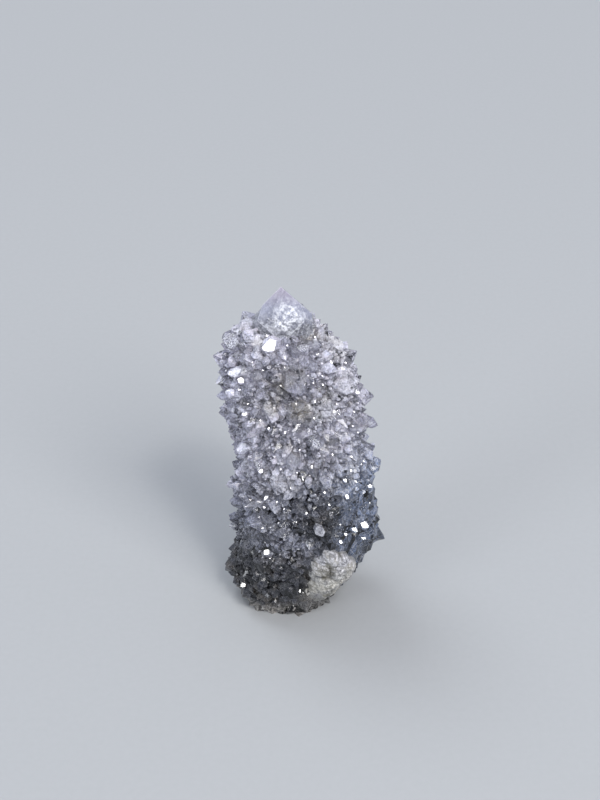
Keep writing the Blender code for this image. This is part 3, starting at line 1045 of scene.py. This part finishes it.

# %% [markdown]
# ## Colour zones
#
# The cluster is pale lavender grey at the top and turns blue grey halfway down and nearly black at the foot, where
# the quartz is smoky and stained, and the right side is the bluest. The borders wander with a slow noise. Darker
# places, among them painted shade over the middle, and stained and cloudier places are soft spots, each given by
# where the picture shows it. A painted mask would do the same, but the spots can be read and moved in one line.

# %% Colours along the cluster
PALE = (0.79, 0.79, 0.99, 1)
BLUE_GREY = (0.315, 0.335, 0.455, 1)
SMOKE = (0.044, 0.049, 0.070, 1)
BLUE_SMOKE = (0.12, 0.155, 0.25, 1)
BLUE_SLATE = (0.275, 0.335, 0.52, 1)
STAIN = (0.075, 0.062, 0.050, 1)
FOOT = (0.62, 0.585, 0.54, 1)
OLIVE = (0.47, 0.43, 0.355, 1)
ROSE = (0.82, 0.74, 0.86, 1)
WHITE = (0.96, 0.955, 1.0, 1)
CELL_SIZE = 0.5 * MM
GRAIN_SIZE = 0.24 * MM
ZONE_TILT = 0.3
DARK_HEART = place_seen(322, 512)
DARK_REACH = (3 * MM, 10 * MM)
DARK_DROP = 10 * MM
LOW_STAIN = place_seen(322, 592)
LOW_STAIN_REACH = (0.4 * MM, 2.2 * MM)
CREAM_REACH = (2.5 * MM, 5.5 * MM)
# Pixel across, pixel down, reach in mm and strength of places darker (the wide one over the middle is painted
# shade), more stained or cloudier than the rest
DARKENED_SPOTS = ((302, 415, 13, 0.12), (246, 557, 9, 0.55), (362, 556, 6, 0.35), (318, 470, 7, 0.15),
             (255, 490, 7, 0.12))
OLIVE_SPOTS = ((280, 386, 3.0, 0.9), (300, 412, 3.6, 0.9), (272, 408, 2.4, 0.7), (306, 338, 2.6, 0.7),
               (325, 395, 2.0, 0.6))
CLOUD_SPOTS = ((334, 344, 5.4, 0.6), (350, 385, 4.2, 0.35), (326, 412, 3.6, 0.5), (250, 325, 3.6, 0.3),
               (264, 345, 3.0, 0.3), (284, 480, 4.4, 0.35), (262, 402, 3.4, 0.3), (245, 465, 3.0, 0.35),
               (293, 461, 2.4, 0.3), (241, 372, 3.0, 0.3), (334, 440, 2.8, 0.3), (352, 470, 3.0, 0.3))
# Heights between which one zone gives way to the next, and the same across for the blue side
UPPER_BORDER = (23 * MM, 38 * MM)
LOWER_BORDER = (11.5 * MM, 25 * MM)
FOOT_BORDER = (0.5 * MM, 4.5 * MM)
BLUE_BORDER = (4 * MM, 9 * MM)
BLUISH_BORDER = (1 * MM, 8 * MM)
BLUISH_TOP = (27 * MM, 40 * MM)
VEIN_BORDER = (4 * MM, 8 * MM)
EDGE_WIDTH = 0.11 * MM
# A brown stain for the nooks, which also darkens them as painted shade
NOOK_STAIN_AND_SHADE = (0.78, 0.73, 0.65)
BLUE_TINT = (0.87, 0.965, 1.04)
VEIN_SIZE = 0.8 * MM
# Lump size, least and most of the slow drift that moves the zones' borders and of the quick one that frays the spots
WANDER = (9 * MM, -7 * MM, 7 * MM)
WOBBLE = (1.8 * MM, -1.5 * MM, 1.5 * MM, 4.0)
FOOT_WANDER = 0.3
# How big the clouds of stain and olive are, and between which noise values they set in
STAIN_SIZE = 4 * MM
STAIN_CLOUDS = (0.5, 0.62)
OLIVE_SIZE = 3.5 * MM
OLIVE_CLOUDS = (0.54, 0.68)
ROSE_TONES = (0.75, 0.95)
# How strong each of these is where it is strongest
FOOT_STRENGTH = 0.8
CREAM_STRENGTH = 0.6
OLIVE_STRENGTH = 0.5
ROSE_STRENGTH = 0.5
NOOK_STRENGTH = 0.8
# The share of a spot's reach within which it is at its strongest
SPOT_CORE = 0.3
WISP_SIZE = 1.1 * MM
WISP_CLOUDS = (0.45, 0.75)
CRACK_BORDER = (0.03, 0.13)
VEIN_LINE = (0.02, 0.09)
# Edge values over which the painted highlight on the edges sets in, and nook values over which it fades out
EDGE_HIGHLIGHT_BORDER = (0.02, 0.10)
EDGE_HIGHLIGHT_NOOKS = (0.3, 0.7)
LINES_IN_DARK = 0.4
VEIN_PALE = 0.28
VEIN_DARK = 0.2
CELL_CONTRAST = 0.4
GRAIN_CONTRAST = 0.85


def spotted(paint, spots, wobble):
    """The sum of soft round spots, each as strong as its last number, with borders that wobble."""
    total = 0
    for across, down, reach, strength in spots:
        border = (SPOT_CORE * reach * MM, reach * MM)
        total = paint.near(place_seen(across, down), border, wobble) * strength + total
    return total


def zone_colour(paint):
    """The cluster's own colour, before each crystal changes it, and how far a place is above the dark."""
    wander = paint.drift(*WANDER)
    wobble = paint.drift(*WOBBLE)
    heart = paint.near(DARK_HEART, DARK_REACH)
    level = paint.along("Z") - paint.along("X") * ZONE_TILT - heart * DARK_DROP + wander
    upper = paint.step(level, *UPPER_BORDER)
    lower = paint.step(level, *LOWER_BORDER)
    foot = 1 - paint.step(paint.along("Z") + wander * FOOT_WANDER, *FOOT_BORDER)
    cream = paint.near(LOW_STAIN, CREAM_REACH, wobble) * CREAM_STRENGTH
    blue = paint.step(paint.along("X"), *BLUE_BORDER)
    stain = paint.step(paint.noise(STAIN_SIZE), *STAIN_CLOUDS) * (1 - blue)
    dark = paint.blend(stain, paint.blend(blue, SMOKE, BLUE_SMOKE), STAIN)
    dark = paint.blend(foot * FOOT_STRENGTH + cream, dark, FOOT)
    olive = paint.step(paint.noise(OLIVE_SIZE), *OLIVE_CLOUDS) * OLIVE_STRENGTH + spotted(paint, OLIVE_SPOTS, wobble)
    rose = paint.step(paint.note("tone"), *ROSE_TONES) * ROSE_STRENGTH
    pale = paint.blend(olive, paint.blend(rose, PALE, ROSE), OLIVE)
    middle = paint.blend(blue, BLUE_GREY, BLUE_SLATE)
    own = paint.blend(upper, paint.blend(lower, dark, middle), pale)
    below = 1 - paint.step(paint.along("Z") + wander, *BLUISH_TOP)
    bluish = paint.step(paint.along("X"), *BLUISH_BORDER) * below
    own = paint.blend(bluish, own, paint.tinted(own, BLUE_TINT))
    own = paint.blend(spotted(paint, CLOUD_SPOTS, wobble), own, WHITE)
    # Darker spots, the wide one over the middle being painted shade
    return paint.shade(own, 1 - spotted(paint, DARKENED_SPOTS, wobble)), lower


def crystal_colour(paint, contrast, haze, nook_shade, glow, rim):
    """A crystal's colour: its zone and tone, its cracks, painted highlights on its edges and milky wisps, and a
    brown stain and painted shade in the nooks.
    """
    own, above_dark = zone_colour(paint)
    nook = paint.note("nook")
    # Nooks get a brown stain that also darkens them, as painted shade
    own = paint.blend(nook * NOOK_STRENGTH, own, paint.tinted(own, NOOK_STAIN_AND_SHADE))
    wisps = paint.step(paint.noise(WISP_SIZE, 5.0, 0.65), *WISP_CLOUDS) * haze
    cracks = (1 - paint.step(paint.cells(CELL_SIZE, "DISTANCE_TO_EDGE"), *CRACK_BORDER)) * glow
    # Painted highlights whiten the sharp outer edges, but not those in nooks
    edge_highlights = paint.step(paint.edges(EDGE_WIDTH), *EDGE_HIGHLIGHT_BORDER) * (1 - paint.step(nook, *EDGE_HIGHLIGHT_NOOKS)) * rim
    veins = 1 - paint.step(paint.cells(VEIN_SIZE, "DISTANCE_TO_EDGE"), *VEIN_LINE)
    blue = paint.step(paint.along("X"), *VEIN_BORDER)
    strength = above_dark * (1 - LINES_IN_DARK) + LINES_IN_DARK
    base = paint.blend((wisps + cracks + edge_highlights) * strength + veins * blue * VEIN_PALE, own, WHITE)
    speckles = paint.speckle(CELL_SIZE, CELL_CONTRAST) + paint.speckle(GRAIN_SIZE, GRAIN_CONTRAST)
    tone = (paint.note("tone") - 0.5) * contrast + speckles + 1
    # Painted shade darkens the nooks, and veins away from the blue side are darker
    return paint.shade(base, tone * (1 - nook * nook_shade) * (1 - veins * (1 - blue) * VEIN_DARK))


print("zones from", SMOKE[:3], "to", PALE[:3])

# %% [markdown]
# ## The finishes
#
# Quartz bends light by 1.544. Clear points let most of it through, milky ones scatter it on veils of tiny bubbles,
# and smoky ones are clear but dark. Each is one Principled surface whose Transmission Weight is a plain number,
# since a crystal's clearness doesn't change across its face, while colour and polish do.

# %% Points of the coat
QUARTZ_IOR = 1.544
COAT_ROUGHNESS = (0.8 * MM, 0.0, 0.12)
RELIEF_DEPTH = 0.05 * MM
RELIEF_CELLS = 0.36 * MM
RELIEF_GRAIN = 0.25 * MM
GRAIN_SHARE = 0.4


def coat_finish(name, clearness, contrast, haze, nook_shade, glow, rim, grain):
    """One kind of point in the coat, from how clear it is to how strong its relief is."""
    paint = Paint(name)
    colour = crystal_colour(paint, contrast, haze, nook_shade, glow, rim)
    roughness = paint.drift(*COAT_ROUGHNESS)
    uneven = paint.cells(RELIEF_CELLS) + paint.noise(RELIEF_GRAIN, 4.0) * GRAIN_SHARE
    relief = paint.bump(uneven, RELIEF_DEPTH, grain)
    paint.finish(Base_Color=colour, Roughness=roughness, Normal=relief, IOR=QUARTZ_IOR,
                 Transmission_Weight=clearness)
    print(name, "lets through", clearness)


# Each finish sets how strong its painted highlight on the edges and its painted shade in the nooks are
coat_finish("clear_points", clearness=0.75, contrast=0.3, haze=0.3, nook_shade=0.15, glow=0.5, rim=0.9, grain=0.3)
coat_finish("milky_points", clearness=0.4, contrast=0.3, haze=0.3, nook_shade=0.25, glow=0.45, rim=0.85, grain=0.35)
coat_finish("smoky_points", clearness=0.5, contrast=0.45, haze=0.08, nook_shade=0.3, glow=0.3, rim=0.6, grain=0.3)
coat_finish("polished_points", clearness=0.4, contrast=0.2, haze=0.3, nook_shade=0.3, glow=0.2, rim=0.0, grain=0.0)

# %% [markdown]
# ## The bare tip
#
# The main crystal's end is smooth and faintly lavender, with a rosy apex. White veils gather low in its middle,
# round a place read off the picture, its foot is greyer with fine flecks, its edges get a painted highlight and its
# nooks painted shade. Veils inside the stone would need a volume, which draws slowly. A cloudy noise in the colour
# looks the same through a milky skin.

# %% Tip
TIP_LAVENDER = (0.30, 0.315, 0.41, 1)
TIP_GREY = (0.15, 0.15, 0.17, 1)
TIP_ROSE = (0.42, 0.36, 0.45, 1)
TIP_WHITE = (0.93, 0.94, 1.0, 1)
VEIL_HEART = place_seen(288, 316)
VEIL_REACH = (1.0 * MM, 3.6 * MM)
TIP_LOW_BORDER = (61 * MM, 64 * MM)
APEX_BORDER = (62.5 * MM, 66 * MM)
TIP_CLEARNESS = 0.12
TIP_ROUGHNESS = (1.0 * MM, 0.12, 0.37)
TIP_RELIEF_CELLS = 0.4 * MM
TIP_RELIEF_GRAIN = 0.3 * MM
TIP_CELL_SHARE = 0.6
TIP_RELIEF = 0.7
VEIL_SIZE = 0.8 * MM
VEIL_CLOUDS = (0.42, 0.60)
# How strong the veils are in their heart, how much they gain low down, and how strong they are elsewhere
VEIL_SHARES = (0.9, 0.25, 0.12)
BORDER_LUMPS = 2 * MM
BLUSH = 0.6
LOW_GREYNESS = 0.75
FLECK_SIZE = 0.3 * MM
FLECK_LEAST = 0.3
# Width, border and strength of the painted highlight on the tip's edges, and the strength of the painted shade in
# its nooks
TIP_EDGE_WIDTH = 0.2 * MM
TIP_EDGE_BORDER = (0.01, 0.1)
TIP_EDGE_HIGHLIGHT = 0.5
TIP_NOOK_SHADE = 0.4

tip = Paint("milky_tip")
veils = tip.step(tip.noise(VEIL_SIZE, 8.0, 0.78), *VEIL_CLOUDS)
low_down = 1 - tip.step(tip.along("Z") + tip.noise(BORDER_LUMPS) * BORDER_LUMPS, *TIP_LOW_BORDER)
apex_blush = tip.step(tip.along("Z"), *APEX_BORDER) * BLUSH
ground = tip.blend(low_down * LOW_GREYNESS, tip.blend(apex_blush, TIP_LAVENDER, TIP_ROSE), TIP_GREY)
flecks = tip.speckle(FLECK_SIZE, low_down * (1 - FLECK_LEAST) + FLECK_LEAST) + 1
in_heart, gained, elsewhere = VEIL_SHARES
veiled = tip.near(VEIL_HEART, VEIL_REACH) * in_heart + low_down * gained + elsewhere
tip_colour = tip.blend(veils * veiled, ground, TIP_WHITE)
# Painted highlight along the tip's edges
tip_edge_highlight = tip.step(tip.edges(TIP_EDGE_WIDTH), *TIP_EDGE_BORDER) * TIP_EDGE_HIGHLIGHT
tip_colour = tip.blend(tip_edge_highlight, tip_colour, TIP_WHITE)
uneven = tip.cells(TIP_RELIEF_CELLS) * TIP_CELL_SHARE + tip.noise(TIP_RELIEF_GRAIN, 5.0)
# The nooks of the tip get painted shade
tip.finish(Base_Color=tip.shade(tip_colour, flecks * (1 - tip.note("nook") * TIP_NOOK_SHADE)), IOR=QUARTZ_IOR,
           Transmission_Weight=TIP_CLEARNESS, Roughness=tip.drift(*TIP_ROUGHNESS),
           Normal=tip.bump(uneven, RELIEF_DEPTH, TIP_RELIEF))
print("tip lets through", TIP_CLEARNESS)

# %% [markdown]
# ## The pale patch
#
# The crust on the patch is duller than the crystals round it. It is nearly white on its upper lobes and ivory lower
# down, with olive-brown stains in its hollows and at its lower edge. Crests stay pale, and grooves get painted
# shade, grey and less white, which the nook number of each corner tells apart.

# %% Patch
PATCH_GREY = (0.13, 0.13, 0.145, 1)
PATCH_WHITE = (0.80, 0.79, 0.84, 1)
PATCH_CREAM = (0.30, 0.28, 0.23, 1)
PATCH_OLIVE = (0.11, 0.10, 0.06, 1)
PATCH_IVORY = (0.82, 0.805, 0.765, 1)
# Each stain's middle across and up from the patch's middle and its reach, in mm, and its strength
STAINS = ((-2.0, 1.2, 2.6, 0.7), (-1.9, 3.1, 1.1, 0.6), (1.2, 0.6, 1.6, 0.4), (1.7, -3.8, 1.8, 0.8),
          (-1.0, -4.6, 2.0, 0.35))
STAIN_HEIGHT = 0.7
# Heights above which the crests are whiter, and above which their white isn't ivory
CREST_BORDER = (PATCH_HEIGHT - 6 * MM, PATCH_HEIGHT + 4 * MM)
IVORY_BORDER = (PATCH_HEIGHT - 1 * MM, PATCH_HEIGHT + 3 * MM)
PATCH_WOBBLE = (1 * MM, -1 * MM, 1 * MM, 4.0)
PATCH_ROUGHNESS = (0.7 * MM, 0.12, 0.52)
PATCH_RELIEF_SIZE = 0.4 * MM
PATCH_RELIEF_DEPTH = 0.08 * MM
PATCH_RELIEF = 0.8
STAIN_CORE = 0.2
# How big the mottles, the cream clouds and the patch's own stains are, and between which noise values they set in
MOTTLE_SIZE = 0.6 * MM
MOTTLE_CLOUDS = (0.42, 0.60)
CREAM_SIZE = 3.0 * MM
CREAM_CLOUDS = (0.42, 0.6)
CREAM_SHARE = 0.8
BLOT_SIZE = 2.2 * MM
BLOT_CLOUDS = (0.56, 0.66)
BLOT_SHARE = 0.4
CRUMB_SIZE = 0.35 * MM
CRUMB_CONTRAST = 0.6
CREST_NOOKS = (0.0, 0.65)
# What the painted shade in the grooves and the stains take off the white, and what is left of it between mottles and
# low down
GROOVE_SHADE_LOSS = 0.85
STAIN_LOSS = 0.85
MOTTLE_LEAST = 0.15
LOW_LEAST = 0.55
GROOVE_SHADE = 0.5
PATCH_CLEARNESS = 0.1

patch = Paint("pale_patch")
mottle = patch.step(patch.noise(MOTTLE_SIZE, 8.0, 0.8), *MOTTLE_CLOUDS)
cream = patch.step(patch.noise(CREAM_SIZE), *CREAM_CLOUDS) * CREAM_SHARE
wobble = patch.drift(*PATCH_WOBBLE)
stained = patch.step(patch.noise(BLOT_SIZE, 4.0, 0.6), *BLOT_CLOUDS) * BLOT_SHARE
for across, upward, reach, strength in STAINS:
    border = (STAIN_CORE * reach * MM, reach * MM)
    stained = patch.near(patch_place(across, upward, STAIN_HEIGHT), border, wobble) * strength + stained
stained = stained + patch.near(LOW_STAIN, LOW_STAIN_REACH, wobble)
crumbs = patch.speckle(CRUMB_SIZE, CRUMB_CONTRAST) + 1
# Painted shade in the grooves: 1 on crests and less in grooves, which both greys them and takes off the white
crest = 1 - patch.step(patch.note("nook"), *CREST_NOOKS) * GROOVE_SHADE_LOSS
upper = patch.step(patch.along("Z"), *CREST_BORDER) * (1 - LOW_LEAST) + LOW_LEAST
ground = patch.blend(stained, patch.blend(cream, PATCH_GREY, PATCH_CREAM), PATCH_OLIVE)
mottled = mottle * (1 - MOTTLE_LEAST) + MOTTLE_LEAST
whitened = mottled * crest * upper * (1 - patch.step(stained, 0, 1) * STAIN_LOSS)
white = patch.blend(patch.step(patch.along("Z") + wobble, *IVORY_BORDER), PATCH_IVORY, PATCH_WHITE)
# The grooves are darkened by painted shade, with fine crumbs over all
shaded = (crest * (1 - GROOVE_SHADE) + GROOVE_SHADE) * crumbs
patch_colour = patch.shade(patch.blend(whitened, ground, white), shaded)
uneven = patch.cells(PATCH_RELIEF_SIZE) + patch.noise(PATCH_RELIEF_SIZE, 6.0)
patch.finish(Base_Color=patch_colour, IOR=QUARTZ_IOR, Transmission_Weight=PATCH_CLEARNESS,
             Roughness=patch.drift(*PATCH_ROUGHNESS), Normal=patch.bump(uneven, PATCH_RELIEF_DEPTH, PATCH_RELIEF))
print("patch painted")

# %% [markdown]
# ## The floor's paint
#
# The floor is plain and matt, so that nothing on it draws the eye. A faint grain keeps it from looking like an
# empty backdrop.

# %% Floor paint
FLOOR_GRAIN = (1.2 * MM, 0.97, 1.03)
FLOOR_ROUGHNESS = 0.8

stage = Paint("stage_floor")
stage.finish(Base_Color=stage.shade(FLOOR_COLOUR, stage.drift(*FLOOR_GRAIN)), Roughness=FLOOR_ROUGHNESS)
floor.data.materials.append(stage.material)
print("floor painted")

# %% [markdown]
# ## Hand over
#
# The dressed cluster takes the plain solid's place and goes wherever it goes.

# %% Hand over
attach(cluster, "root")
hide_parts("quartz_cluster")
